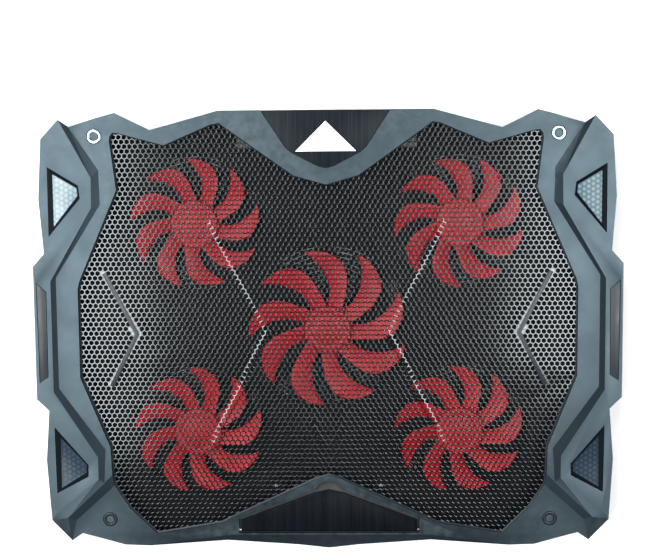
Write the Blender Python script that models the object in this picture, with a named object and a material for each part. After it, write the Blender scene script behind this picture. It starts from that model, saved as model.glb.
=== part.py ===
"""A laptop cooling pad: a faceted plastic frame over a steel mesh, with five fans in a shallow tray.

The origin is on the desk under the middle of the pad, with +X to the right, +Y to the rear and +Z up.
Lengths below are in millimetres and angles in degrees. The meshes are made in metres.
"""

import math

import bmesh
import bpy
from mathutils import Matrix, Vector
from mathutils.geometry import delaunay_2d_cdt

MM = 0.001
GAP = 0.3

# Heights, from the desk up.
FOOT_TOP = 2.7
FLOOR_UNDER = 3.0
FLOOR_TOP = 5.0
SHELL_TOP = 15.7
FRAME_UNDER = 16.0
MESH_UNDER = 22.3
MESH_TOP = 23.1
LOW = 25.8
HIGH = 28.0
SKIN = 2.4
# Cutters start clear below the pad and end clear above it.
CLEAR_UNDER = 1.0
CLEAR_OVER = 30.0

# Frame walls.
SKIRT_TAPER = 1.2
SKIRT_WALL = 2.4
MESH_TUCK = 1.5

# Bottom tray: how far its outside and its hollow stand in from the outline at the floor and at the knee.
TRAY_FLOOR_INSET = 4.5
TRAY_KNEE_INSET = 1.0
TRAY_KNEE = 6.4
HOLLOW_FLOOR_INSET = 6.4
HOLLOW_KNEE_INSET = 3.4
HOLLOW_KNEE = 7.0
TRAY_WALL = 2.3

# Air intakes under each fan, in degrees where they are angles.
INTAKE_INNER = 19.5
INTAKE_CLEAR = 1.4
CORNER_SPOKES = 6
CENTRE_SPOKES = 8
SPOKE_HALF_ANGLE = 2.6
SPOKE_LEAN = 3.2

# Fans: place in plan, tip radius, and the turn of the first blade.
CORNER_TIP = 45.6
CENTRE_TIP = 56.0
FANS = {
    "rear_left": (-92.5, 76.0, CORNER_TIP, 84.5),
    "rear_right": (92.5, 76.0, CORNER_TIP, 100.0),
    "front_left": (-92.5, -71.5, CORNER_TIP, 87.0),
    "front_right": (92.5, -71.5, CORNER_TIP, 87.0),
    "centre": (0.0, 1.5, CENTRE_TIP, 94.0),
}
BLADES = 9
HUB_RADIUS = 16.5
HUB_WALL = 2.0
HUB_UNDER = 8.0
HUB_CEILING = 17.6
HUB_TOP = 19.8
HUB_CHAMFER = 1.0
HUB_CHAMFER_DROP = 0.8
BLADE_MIDDLE = 13.6
BLADE_PITCH = 2.6
BLADE_THICK = 1.4
SHAFT_RADIUS = 1.5
BLADE_CLIP = 2.5
SHAFT_RADIUS_PLAY = 0.25
SHAFT_UNDER = 7.2
SHAFT_TOP = 18.6
SLEEVE_RADIUS = 3.0
SLEEVE_UNDER = 7.0
SLEEVE_TOP = 16.2
MOTOR_PLATE_RADIUS = 17.0
MOTOR_PLATE_TOP = 6.6
MOTOR_RADIUS = 12.8
MOTOR_TOP = 15.4
MOTOR_BORE_FLOOR = 6.7
# The blade's share of the reach from hub to tip, with its sweep and its width there in degrees.
BLADE_SHARES = ((0.0, 0.0, 26.7), (0.2, 2.0, 26.0), (0.46, 6.0, 21.5), (0.73, 14.0, 22.7), (1.0, 22.0, 21.0))

# Casing screws stand under the corner rings' flats and at the middle of each side.
SCREWS = {
    "rear_left": (-157.0, 134.0),
    "rear_right": (157.0, 134.0),
    "front_left": (-153.0, -130.0),
    "front_right": (153.0, -130.0),
    "side_left": (-183.0, 0.0),
    "side_right": (183.0, 0.0),
}
BOSS_RADIUS = 4.0
SCREW_RADIUS = 1.3
SCREW_HEAD_RADIUS = 2.8
SCREW_HEAD_UNDER = 4.4
SCREW_HEAD_TOP = 6.3
SCREW_TIP = 21.5
SCREW_WELL_TOP = 17.0
SCREW_HOLE_UNDER = 15.0
SCREW_HOLE_TOP = 22.2
TRAY_BOSS_UNDER = 4.0

# Corner rings set in the frame.
RINGS = {
    "rear": (159.4, 137.8, HIGH),
    "front": (155.4, -132.8, LOW),
}
RING_OUTER = 4.9
RING_INNER = 2.9
RING_CHAMFER = 0.6
RING_SINK = 0.8
RING_PROUD = 0.6
RING_EDGE_PROUD = 0.2

# Badge, side strips and windows: how deep each sits in the frame and how far it stands proud.
BADGE_SINK = 0.3
BADGE_THICK = 1.0
PLATE_THICK = 0.9
STRIP_SINK = 0.9
STRIP_PROUD = 0.1
WINDOW_CUT_UNDER = 20.0
FLANGE_WIDTH = 1.3
FLANGE_THICK = 1.5
SURROUND_EDGE = 0.4
PANE_SINK = 2.5

# Folding rear legs, each in a pocket under the tray.
LEG_X = 171.0
LEG_HALF = 12.0
LEG_AXIS_Y = 126.0
LEG_AXIS_Z = 5.9
LEG_BARREL = 2.4
LEG_TIP_Y = 92.0
LEG_PIN_RADIUS = 1.0
POCKET_HALF = 13.0
POCKET_FRONT = 80.0
POCKET_REAR = 129.0
POCKET_ROOF = 8.7
POCKET_WALL = 2.0
POCKET_WALL_UNDER = 3.6
POCKET_LID = 1.6
LEG_PIN_BITE = 1.3
LEG_UNDER = 2.3
LEG_OVER = 2.0
LEG_RIM = 4.0
LEG_HOLLOW = 2.2
LEG_HOLLOW_END = 6.0
LEG_PAD_HALF = 10.0
LEG_PAD_LENGTH = 4.0
LEG_PAD_STEP = 0.2

# Stop flap across the front, hinged at its front edge.
FLAP_AXIS_Y = -141.0
FLAP_AXIS_Z = 24.4
FLAP_UNDER = 23.1
FLAP_TOP = 25.7
FLAP_HALF = 62.2
FLAP_BARREL = 1.3
FLAP_PIN_RADIUS = 0.7
RECESS_FLOOR = 22.8
RECESS_UNDER = 21.2
RECESS_WALL = 0.7
RECESS_RIM = 23.9
FLAP_PIN_HALF = 66.0
PIN_END_PLAY = 0.5
EAR_INNER = 62.5
EAR_OUTER = 68.0
EAR_FRONT = -143.8
EAR_REAR = -137.0
EAR_TOP = 24.6

# Sockets and switches in the rear wall.
SOCKET_X = (34.0, 54.0)
SWITCH_X = (-34.0, -54.0)
SOCKET_HALF = 7.0
SOCKET_UNDER = 7.2
SOCKET_TOP = 13.8
SOCKET_WALL = 0.7
SOCKET_MOUTH_Y = 152.2
SOCKET_BACK_Y = 138.0
SOCKET_BACK_WALL = 1.5
WALL_CUT_FRONT = 148.0
WALL_CUT_REAR = 156.0
SWITCH_LEAN = -7.0
SWITCH_OPEN_HALF = 6.8
SWITCH_OPEN_UNDER = 6.8
SWITCH_OPEN_TOP = 14.2
ROCKER_AXIS_Y = 147.6
ROCKER_AXIS_Z = 10.5
ROCKER_HALF = 5.6
ROCKER_FRONT = 147.0
ROCKER_REAR = 152.6
ROCKER_DIP = 151.6
ROCKER_UNDER = 7.4
ROCKER_TOP = 13.6

# Board behind the sockets and the switches.
BOARD_HALF = 63.0
BOARD_FRONT = 128.0
BOARD_REAR = 145.4
BOARD_THICK = 1.6

FEET = {
    "rear_left": (-132.0, 126.0),
    "rear_right": (132.0, 126.0),
    "front_left": (-150.0, -118.0),
    "front_right": (150.0, -118.0),
}
FOOT_RADIUS = 7.5
FOOT_CHAMFER = 0.6
RIVETS = {"left": -37.0, "right": 37.0}
RIVET_Y = -110.0
RIVET_HOLE_RADIUS = 1.1
RIVET_RADIUS = 0.8
RIVET_HEAD_RADIUS = 1.8
RIVET_CROWN_RADIUS = 1.5
RIVET_UNDER = 21.0
RIVET_HEAD_TOP = 1.0

# Right half of the frame's outer edge, from the rear centre round to the front centre, with its height.
OUTER_EDGE = [
    (0, 155, HIGH), (74, 154.8, HIGH), (121, 142, HIGH), (145, 154, HIGH), (158, 150.5, HIGH),
    (177, 144.6, HIGH), (184.6, 149.6, LOW), (197, 136.3, LOW), (199.7, 94.6, LOW), (196.9, 56.8, LOW),
    (205, 47.8, LOW), (205, -46.2, LOW), (196.6, -54.3, LOW), (199.4, -90.1, LOW), (196.9, -133.4, LOW),
    (182.8, -148.3, LOW), (175.2, -142.9, LOW), (144.6, -151.4, LOW), (127, -152, LOW),
    (72, -148.6, 24.0), (21.2, -152.5, 22.4), (0, -155, 22.0),
]
# Right half of the mesh opening, in the same order.
MESH_EDGE = [
    (0, 103.6, HIGH), (22.5, 110.0, HIGH), (73.3, 146.2, HIGH), (78.8, 145.4, HIGH), (111.7, 131.4, HIGH),
    (143.0, 140.0, HIGH), (146.7, 140.2, HIGH), (148.6, 137.8, HIGH), (149.1, 134.4, HIGH),
    (145.0, 100.8, HIGH), (172.2, 37.8, HIGH), (173.6, 32.2, HIGH), (173.5, -30.5, HIGH),
    (153.6, -80.4, HIGH), (152.8, -100.2, HIGH), (152.0, -108.1, LOW), (141.2, -124.7, LOW),
    (122.1, -143.4, LOW), (75.7, -135.6, LOW), (67.8, -131.6, LOW), (9.6, -104.5, LOW), (0, -101.6, LOW),
]
# Creases of the frame's relief: the crest of the raised band, the foot of its slope, the front flat
# behind the rib, and the top of the sloping front lip.
CRESTS = {
    "crest_horn": (157, 114.8, HIGH), "crest_waist": (156.5, 90.8, HIGH), "crest_side": (188.6, 40, HIGH),
    "crest_front": (188.6, -38, HIGH), "crest_turn": (157, -82, HIGH), "rib_inner": (158.5, -106, HIGH),
    "rib_outer": (185.2, -131.2, HIGH),
    "foot_horn": (162.8, 109.4, LOW), "foot_waist": (163.1, 88.4, LOW), "foot_side": (193, 37.4, LOW),
    "foot_front": (193, -41, LOW), "foot_turn": (163, -88, LOW), "foot_rib": (163, -103.8, LOW),
    "foot_corner": (191.9, -126.8, LOW),
    "flat_inner": (155, -111.5, LOW), "flat_outer": (179.5, -133.5, LOW),
    "lip_centre": (0, -144.6, LOW), "lip_flap": (68.5, -144.6, LOW), "lip_end": (100, -148, LOW),
}

REAR_WINDOW = [(193.0, 117.0), (171.8, 104.1), (170.8, 95.0), (193.2, 68.7)]
REAR_PANE = [(189.7, 111.8), (173.4, 102.2), (172.8, 97.0), (189.6, 75.9)]
FRONT_WINDOW = [(193.2, -66.1), (169.9, -93.4), (170.1, -101.9), (192.6, -113.8)]
FRONT_PANE = [(189.2, -74.6), (171.8, -93.6), (171.9, -99.4), (189.6, -110.6)]
SIDE_STRIP = [(202.8, 35.7), (196.4, 30.0), (196.6, -30.2), (202.4, -34.0)]
BADGE_HALF = [(44.3, 154.7), (27.8, 129.6), (24.0, 126.2), (5.5, 116.4), (0, 115.1)]
BADGE_PLATE = [(-20.9, 126.5), (20.9, 126.5), (0, 147.2)]
FLAP_HALF_EDGE = [(62.2, -141.0), (62.2, -133.8), (11.0, -114.6), (0, -112.1)]
RECESS_HALF_EDGE = [(63.8, -143.2), (63.8, -132.6), (9.6, -111.8), (7.0, -108.1), (3.6, -106.3), (0, -105.7)]
TRAY_HALF_EDGE = [
    (0, 152.5), (70, 152.3), (120, 139), (143, 150), (176, 141), (194, 134), (196.5, 95), (193.5, 57),
    (201.5, 46), (201.5, -45), (193.5, -55), (196, -90), (193.5, -131), (180, -142), (143, -148.5),
    (72, -145.5), (0, -151.5),
]
# Folds pressed into the mesh: a lens down the middle and a chevron on each side.
LENS = [(0, 87.4), (9, 77), (12.5, 1.5), (9, -69.3), (0, -85.8)]
LENS_RISE = 0.7
FOLD = [(80, 77), (41.5, 2), (80.8, -78.6)]
FOLD_RISE = 1.3


def clear_scene():
    for obj in list(bpy.data.objects):
        bpy.data.objects.remove(obj, do_unlink=True)


def material(name, colour, roughness, metallic=0.0):
    made = bpy.data.materials.new(name)
    made.use_nodes = True
    shader = made.node_tree.nodes["Principled BSDF"]
    shader.inputs["Base Color"].default_value = (*colour, 1.0)
    shader.inputs["Roughness"].default_value = roughness
    shader.inputs["Metallic"].default_value = metallic
    return made


def whole_outline(right_half):
    """Both halves of an outline given as its right half, whose ends may lie on the centre line."""
    left_half = [(-point[0], *point[1:]) for point in reversed(right_half) if point[0] > 0]
    return list(right_half) + left_half


def mirrored(outline):
    return [(-x, y) for x, y in reversed(outline)]


def inset(outline, distance):
    """The outline moved inward by a distance, or outward by a negative one, with its corners mitred."""
    flat = [Vector(point[:2]) for point in outline]
    count = len(flat)
    area = sum(flat[i].cross(flat[(i + 1) % count]) for i in range(count))
    turn = 1 if area > 0 else -1
    moved = []
    for i, corner in enumerate(flat):
        before = (corner - flat[i - 1]).normalized()
        after = (flat[(i + 1) % count] - corner).normalized()
        inward = [Vector((-side.y, side.x)) * turn for side in (before, after)]
        mitre = (inward[0] + inward[1]).normalized()
        moved.append(tuple(corner + mitre * distance / max(mitre.dot(inward[0]), 0.4)))
    return moved


def at_height(outline, z):
    return [(point[0], point[1], z) for point in outline]


def circle(x, y, radius, z, sides, turn=0.0):
    angles = [turn + 2 * math.pi * i / sides for i in range(sides)]
    return [(x + radius * math.cos(a), y + radius * math.sin(a), z) for a in angles]


def object_of(name, bm, look, axis=(0, 0, 0)):
    """An object from a mesh drawn in millimetres of the world, with its origin at axis."""
    bmesh.ops.remove_doubles(bm, verts=bm.verts, dist=1e-5)
    bmesh.ops.recalc_face_normals(bm, faces=bm.faces)
    bmesh.ops.translate(bm, vec=-Vector(axis), verts=bm.verts)
    bmesh.ops.scale(bm, vec=(MM, MM, MM), verts=bm.verts)
    mesh = bpy.data.meshes.new(name)
    bm.to_mesh(mesh)
    bm.free()
    mesh.set_sharp_from_angle(angle=math.radians(32))
    obj = bpy.data.objects.new(name, mesh)
    obj.location = Vector(axis) * MM
    bpy.context.scene.collection.objects.link(obj)
    if look:
        mesh.materials.append(look)
    return obj


def skin_loops(bm, loops, closed=False):
    """Joins loops of equal count one to the next. The ends are capped, or joined to each other."""
    rings = [[bm.verts.new(point) for point in loop] for loop in loops]
    if closed:
        rings.append(rings[0])
    else:
        bm.faces.new(rings[0])
        bm.faces.new(rings[-1])
    for low, high in zip(rings, rings[1:]):
        for i in range(len(low)):
            bm.faces.new((low[i - 1], low[i], high[i], high[i - 1]))


def solid(name, loops, look=None, axis=(0, 0, 0), closed=False):
    bm = bmesh.new()
    skin_loops(bm, loops, closed)
    return object_of(name, bm, look, axis)


def prism(name, outline, low, high, look=None):
    return solid(name, [at_height(outline, low), at_height(outline, high)], look)


def block(name, low, high, look=None, axis=(0, 0, 0)):
    corners = [(low[0], low[1]), (high[0], low[1]), (high[0], high[1]), (low[0], high[1])]
    return solid(name, [at_height(corners, low[2]), at_height(corners, high[2])], look, axis)


def turned(name, place, profile, sides, look=None, closed=False):
    """A body turned about a vertical line: profile is a list of (radius, height)."""
    x, y = place
    loops = [circle(x, y, radius, z, sides) for radius, z in profile]
    return solid(name, loops, look, (x, y, 0), closed)


def rod_along_x(name, x0, x1, y, z, radius, sides, look=None, axis=(0, 0, 0)):
    ring = circle(0, 0, radius, 0, sides, math.pi / sides)
    loops = [[(x, y + a, z + b) for a, b, _ in ring] for x in (x0, x1)]
    return solid(name, loops, look, axis)


def combine(target, tool, operation):
    """Cuts or joins the tool into the target, and removes the tool."""
    step = target.modifiers.new(operation, "BOOLEAN")
    step.operation = operation
    step.solver = "EXACT"
    step.object = tool
    bpy.context.view_layer.update()
    graph = bpy.context.evaluated_depsgraph_get()
    made = bpy.data.meshes.new_from_object(target.evaluated_get(graph))
    target.modifiers.clear()
    old = target.data
    target.data = made
    made.name = target.name
    bpy.data.meshes.remove(old)
    bpy.data.objects.remove(tool, do_unlink=True)


def tidy(target):
    """Joins flat neighbouring faces and stray points that the cuts leave."""
    bm = bmesh.new()
    bm.from_mesh(target.data)
    bmesh.ops.remove_doubles(bm, verts=bm.verts, dist=0.0002 * MM)
    bmesh.ops.dissolve_limit(bm, angle_limit=math.radians(0.05), verts=bm.verts, edges=bm.edges)
    bmesh.ops.triangulate(bm, faces=bm.faces)
    bm.to_mesh(target.data)
    bm.free()
    target.data.set_sharp_from_angle(angle=math.radians(32))


def cut(target, *tools):
    for tool in tools:
        combine(target, tool, "DIFFERENCE")


def join(target, *tools):
    for tool in tools:
        combine(target, tool, "UNION")


def frame_faces():
    """The facets of the frame's upper side on its right half, as names of corners."""
    def edge(letter, first, last):
        step = 1 if last >= first else -1
        return [f"{letter}{i}" for i in range(first, last + step, step)]

    return [
        edge("o", 0, 5) + ["crest_horn", "crest_waist"] + edge("m", 9, 0),
        ["crest_waist", "crest_side", "crest_front", "crest_turn", "rib_inner"] + edge("m", 14, 9),
        ["o5", "o6", "foot_horn", "crest_horn"],
        ["crest_horn", "foot_horn", "foot_waist", "crest_waist"],
        ["crest_waist", "foot_waist", "foot_side", "crest_side"],
        ["crest_side", "foot_side", "foot_front", "crest_front"],
        ["crest_front", "foot_front", "foot_turn", "crest_turn"],
        ["crest_turn", "foot_turn", "foot_rib", "rib_inner"],
        ["rib_inner", "foot_rib", "foot_corner", "rib_outer"],
        ["rib_inner", "rib_outer", "flat_outer", "flat_inner"],
        ["m14", "rib_inner", "flat_inner", "m15"],
        ["rib_outer", "foot_corner", "o14"],
        ["rib_outer", "o14", "o15"],
        ["rib_outer", "o15", "flat_outer"],
        edge("o", 6, 10) + ["foot_side", "foot_waist", "foot_horn"],
        ["o10", "o11", "foot_front", "foot_side"],
        edge("o", 11, 14) + ["foot_corner", "foot_rib", "foot_turn", "foot_front"],
        ["flat_inner", "flat_outer"] + edge("o", 15, 18) + ["lip_end", "lip_flap", "lip_centre"]
        + edge("m", 21, 15),
        ["lip_flap", "lip_end", "o18", "o19"],
        ["lip_centre", "lip_flap", "o19", "o20"],
        ["lip_centre", "o20", "o21"],
    ]


def frame_body(look):
    """The moulded frame: a faceted skin with a tapered skirt round it and a lip at the mesh."""
    upper = {f"o{i}": point for i, point in enumerate(OUTER_EDGE)}
    upper.update({f"m{i}": point for i, point in enumerate(MESH_EDGE)})
    upper.update(CRESTS)
    outline = whole_outline(OUTER_EDGE)
    taper = inset(outline, SKIRT_TAPER)
    inner_low = inset(outline, SKIRT_TAPER + SKIRT_WALL)
    inner_high = inset(outline, SKIRT_WALL)
    bm = bmesh.new()
    made = {}

    def corner(name, side, layer):
        """The corner's vertex: side is 1 or -1, and layer is top, under, skirt_out or skirt_in."""
        x, y, z = upper[name]
        if x == 0:
            side = 1
        key = (name, side, layer)
        if key in made:
            return made[key]
        if name[0] == "o" and layer != "top":
            i = int(name[1:])
            source = {"under": inner_high, "skirt_out": taper, "skirt_in": inner_low}[layer]
            x, y = source[i]
        if name[0] == "m" and name[1:].isdigit() and layer == "under":
            z = MESH_TOP + GAP
        elif layer == "under":
            z -= SKIN
        elif layer != "top":
            z = FRAME_UNDER
        made[key] = bm.verts.new((x * side, y, z))
        return made[key]

    for side in (1, -1):
        for names in frame_faces():
            for layer in ("top", "under"):
                bm.faces.new([corner(name, side, layer) for name in names])
        for count, letter, layers in (
            (len(OUTER_EDGE), "o", ("top", "skirt_out", "skirt_in", "under")),
            (len(MESH_EDGE), "m", ("top", "under")),
        ):
            for i in range(count - 1):
                ends = [f"{letter}{i}", f"{letter}{i + 1}"]
                for high, low in zip(layers, layers[1:]):
                    bm.faces.new([
                        corner(ends[0], side, high), corner(ends[1], side, high),
                        corner(ends[1], side, low), corner(ends[0], side, low),
                    ])
    bm.normal_update()
    bmesh.ops.triangulate(bm, faces=bm.faces)
    return object_of("top_frame", bm, look)


def frame_details(frame):
    """Bosses, the flap's tray and every recess and opening in the frame."""
    for where, (x, y) in SCREWS.items():
        top = (LOW if where.startswith("front") else HIGH) - SKIN / 2
        join(frame, turned("boss", (x, y), [(BOSS_RADIUS, FRAME_UNDER), (BOSS_RADIUS, top)], 12))
    tray = whole_outline(RECESS_HALF_EDGE)
    join(frame, prism("flap_tray", inset(tray, -RECESS_WALL), RECESS_UNDER, RECESS_RIM))
    for side in (1, -1):
        ear = sorted((side * EAR_INNER, side * EAR_OUTER))
        join(frame, block("pin_ear", (ear[0], EAR_FRONT, RECESS_UNDER), (ear[1], EAR_REAR, EAR_TOP)))
    cut(frame, prism("flap_recess", tray, RECESS_FLOOR, CLEAR_OVER))
    reach = FLAP_PIN_HALF + PIN_END_PLAY
    cut(frame, rod_along_x("pin_hole", -reach, reach, FLAP_AXIS_Y, FLAP_AXIS_Z, FLAP_PIN_RADIUS + GAP, 12))
    for x, y in SCREWS.values():
        hole = [(SCREW_RADIUS + GAP, SCREW_HOLE_UNDER), (SCREW_RADIUS + GAP, SCREW_HOLE_TOP)]
        cut(frame, turned("screw_hole", (x, y), hole, 12))
    for x, y, top in RINGS.values():
        for side in (1, -1):
            seat = [(RING_INNER - GAP, top - RING_SINK - GAP), (RING_INNER - GAP, top + 1),
                    (RING_OUTER + GAP, top + 1), (RING_OUTER + GAP, top - RING_SINK - GAP)]
            cut(frame, turned("ring_seat", (side * x, y), seat, 16, closed=True))
    for outline in (REAR_WINDOW, FRONT_WINDOW):
        for edge in (outline, mirrored(outline)):
            cut(frame, prism("window_cut", edge, WINDOW_CUT_UNDER, CLEAR_OVER))
    for outline in (SIDE_STRIP, mirrored(SIDE_STRIP)):
        cut(frame, prism("strip_seat", inset(outline, -GAP), LOW - STRIP_SINK - GAP, CLEAR_OVER))
    badge = whole_outline([(46.2, 157.6)] + BADGE_HALF[1:])
    cut(frame, prism("badge_seat", inset(badge, -GAP), HIGH - BADGE_SINK - BADGE_THICK - GAP, CLEAR_OVER))
    tidy(frame)


def tray_body(look):
    """The bottom tray: a floor with a grille under each fan and a wall round it."""
    outline = whole_outline(TRAY_HALF_EDGE)
    shell = solid("bottom_shell", [
        at_height(inset(outline, TRAY_FLOOR_INSET), FLOOR_UNDER),
        at_height(inset(outline, TRAY_KNEE_INSET), TRAY_KNEE),
        at_height(outline, SHELL_TOP),
    ], look)
    hollow = solid("hollow", [
        at_height(inset(outline, HOLLOW_FLOOR_INSET), FLOOR_TOP),
        at_height(inset(outline, HOLLOW_KNEE_INSET), HOLLOW_KNEE),
        at_height(inset(outline, TRAY_WALL), SHELL_TOP),
        at_height(inset(outline, TRAY_WALL), SHELL_TOP + 2),
    ])
    cut(shell, hollow)
    return shell


def intake_sector(place, inner, outer, start, end):
    """A gap between two spokes of a fan's grille."""
    x, y = place
    arc = [math.radians(start + (end - start) * i / 4) for i in range(5)]
    lean = math.radians(SPOKE_LEAN)
    outer_edge = [(x + outer * math.cos(a), y + outer * math.sin(a)) for a in arc]
    inner_edge = [(x + inner * math.cos(a), y + inner * math.sin(a))
                  for a in (arc[-1] - lean, arc[0] + lean)]
    return prism("intake", outer_edge + inner_edge, CLEAR_UNDER, HOLLOW_KNEE)


def tray_details(shell):
    """Leg pockets, screw bosses, grilles and the openings in the rear wall."""
    for side in (1, -1):
        x = side * LEG_X
        half = POCKET_HALF + POCKET_WALL
        join(shell, block("pocket", (x - half, POCKET_FRONT - POCKET_WALL, POCKET_WALL_UNDER),
                          (x + half, POCKET_REAR + POCKET_WALL, POCKET_ROOF + POCKET_LID)))
        cut(shell, block("pocket_cut", (x - POCKET_HALF, POCKET_FRONT, CLEAR_UNDER),
                         (x + POCKET_HALF, POCKET_REAR, POCKET_ROOF)))
        reach = POCKET_HALF + LEG_PIN_BITE + GAP
        cut(shell, rod_along_x("leg_pin_hole", x - reach, x + reach,
                               LEG_AXIS_Y, LEG_AXIS_Z, LEG_PIN_RADIUS + GAP, 12))
    for x, y in SCREWS.values():
        join(shell, turned("boss", (x, y), [(BOSS_RADIUS, TRAY_BOSS_UNDER), (BOSS_RADIUS, SHELL_TOP)], 12))
    for x, y in SCREWS.values():
        cut(shell, turned("screw_well", (x, y), [
            (SCREW_HEAD_RADIUS + GAP, CLEAR_UNDER), (SCREW_HEAD_RADIUS + GAP, SCREW_HEAD_TOP + GAP),
            (SCREW_RADIUS + GAP, SCREW_HEAD_TOP + GAP), (SCREW_RADIUS + GAP, SCREW_WELL_TOP),
        ], 12))
    for x, y, tip, _ in FANS.values():
        spokes = CENTRE_SPOKES if tip == CENTRE_TIP else CORNER_SPOKES
        step = 360 / spokes
        for i in range(spokes):
            start = i * step + SPOKE_HALF_ANGLE
            end = (i + 1) * step - SPOKE_HALF_ANGLE
            cut(shell, intake_sector((x, y), INTAKE_INNER, tip + INTAKE_CLEAR, start, end))
    for x in SOCKET_X:
        cut(shell, block("socket_cut", (x - SOCKET_HALF - GAP, WALL_CUT_FRONT, SOCKET_UNDER - GAP),
                         (x + SOCKET_HALF + GAP, WALL_CUT_REAR, SOCKET_TOP + GAP)))
    for x in SWITCH_X:
        cut(shell, block("switch_cut", (x - SWITCH_OPEN_HALF, WALL_CUT_FRONT, SWITCH_OPEN_UNDER),
                         (x + SWITCH_OPEN_HALF, WALL_CUT_REAR, SWITCH_OPEN_TOP)))
    tidy(shell)


def folded_sheet(look):
    """The sheet that the fans blow through, with its pressed folds. Its holes are left to the finish."""
    rim = inset(whole_outline(MESH_EDGE), -MESH_TUCK)
    lens = whole_outline(LENS)
    points = [(x, y, 0.0) for x, y in rim]
    points += [(x, y, LENS_RISE if x else 0.0) for x, y in lens]
    edges = [(i, (i + 1) % len(rim)) for i in range(len(rim))]
    edges += [(len(rim) + i, len(rim) + (i + 1) % len(lens)) for i in range(len(lens))]
    for side in (1, -1):
        first = len(points)
        points += [(side * x, y, FOLD_RISE if i == 1 else 0.0) for i, (x, y) in enumerate(FOLD)]
        edges += [(first, first + 1), (first + 1, first + 2)]
    flat = [Vector(point[:2]) for point in points]
    placed, _, triangles, came_from, _, _ = delaunay_2d_cdt(flat, edges, [], 1, 1e-4)
    bm = bmesh.new()
    layers = []
    for z in (MESH_TOP, MESH_UNDER):
        layers.append([
            bm.verts.new((spot.x, spot.y, z + points[source[0]][2]))
            for spot, source in zip(placed, came_from)
        ])
    for verts in layers:
        for triangle in triangles:
            bm.faces.new([verts[i] for i in triangle])
    top, under = layers
    for edge in [edge for edge in bm.edges if edge.is_boundary and edge.verts[0] in top]:
        ends = [top.index(vert) for vert in edge.verts]
        bm.faces.new((top[ends[0]], top[ends[1]], under[ends[1]], under[ends[0]]))
    return object_of("mesh_panel", bm, look)


def mesh_sheet(looks):
    """The sheet with its two rivets."""
    panel = folded_sheet(looks["mesh"])
    for name, x in RIVETS.items():
        hole = [(RIVET_HOLE_RADIUS, RIVET_UNDER - GAP), (RIVET_HOLE_RADIUS, CLEAR_OVER)]
        cut(panel, turned("rivet_hole", (x, RIVET_Y), hole, 10))
        turned(f"mesh_rivet_{name}", (x, RIVET_Y), [
            (RIVET_RADIUS, RIVET_UNDER), (RIVET_RADIUS, MESH_TOP + GAP),
            (RIVET_HEAD_RADIUS, MESH_TOP + GAP), (RIVET_CROWN_RADIUS, MESH_TOP + RIVET_HEAD_TOP),
        ], 12, looks["steel"])
    tidy(panel)


def blade_stations(tip):
    """Radius, sweep of the middle, angular width and lift of the blade from its root to its tip."""
    reach = tip - HUB_RADIUS
    return [(HUB_RADIUS + share * reach, sweep, width) for share, sweep, width in BLADE_SHARES]


def rotor(name, x, y, tip, first, look):
    """A hub cup with nine swept blades, which grow out of two of every three of its wall's faces."""
    sides = BLADES * 3
    step = 360 / sides
    stations = blade_stations(tip)
    start = first - stations[-1][1]
    bm = bmesh.new()

    def ring(radius, z):
        loop = circle(x, y, radius, z, sides, math.radians(start - step))
        return [bm.verts.new(point) for point in loop]

    def middle(column):
        return BLADE_MIDDLE - (column - 1) * BLADE_PITCH

    def wall_ring(lift):
        loop = circle(x, y, HUB_RADIUS, 0, sides, math.radians(start - step))
        return [bm.verts.new((p[0], p[1], middle(i % 3) + lift)) for i, p in enumerate(loop)]

    half = BLADE_THICK / 2
    rings = [
        ring(HUB_RADIUS - HUB_CHAMFER, HUB_TOP), ring(HUB_RADIUS, HUB_TOP - HUB_CHAMFER_DROP),
        wall_ring(half), wall_ring(-half),
        ring(HUB_RADIUS, HUB_UNDER), ring(HUB_RADIUS - HUB_WALL, HUB_UNDER),
        ring(HUB_RADIUS - HUB_WALL, HUB_CEILING), ring(SHAFT_RADIUS + GAP, HUB_CEILING),
        ring(SHAFT_RADIUS + GAP, SHAFT_TOP + GAP),
    ]
    bm.faces.new(rings[0])
    bm.faces.new(rings[-1])
    for level, (high, low) in enumerate(zip(rings, rings[1:])):
        for i in range(sides):
            if level == 2 and i % 3 != 2:
                continue
            j = (i + 1) % sides
            bm.faces.new((high[i], high[j], low[j], low[i]))
    for blade in range(BLADES):
        upper = [rings[2][3 * blade + column] for column in range(3)]
        lower = [rings[3][3 * blade + column] for column in range(3)]
        root = start + blade * 360 / BLADES
        for radius, sweep, width in stations[1:]:
            rows = []
            for lift in (half, -half):
                row = []
                for column in range(3):
                    angle = math.radians(root + sweep + (column - 1) * width / 2)
                    out = radius - (BLADE_CLIP if radius == tip and column == 0 else 0)
                    z = middle(column) + lift
                    row.append(bm.verts.new((x + out * math.cos(angle), y + out * math.sin(angle), z)))
                rows.append(row)
            bands = [(upper, rows[0]), (lower, rows[1])]
            for old, new in bands:
                for column in range(2):
                    bm.faces.new((old[column], old[column + 1], new[column + 1], new[column]))
            for column in (0, 2):
                bm.faces.new((upper[column], rows[0][column], rows[1][column], lower[column]))
            upper, lower = rows
        for column in range(2):
            bm.faces.new((upper[column], upper[column + 1], lower[column + 1], lower[column]))
    bm.normal_update()
    bmesh.ops.triangulate(bm, faces=bm.faces)
    return object_of(name, bm, look, (x, y, 0))


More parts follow.
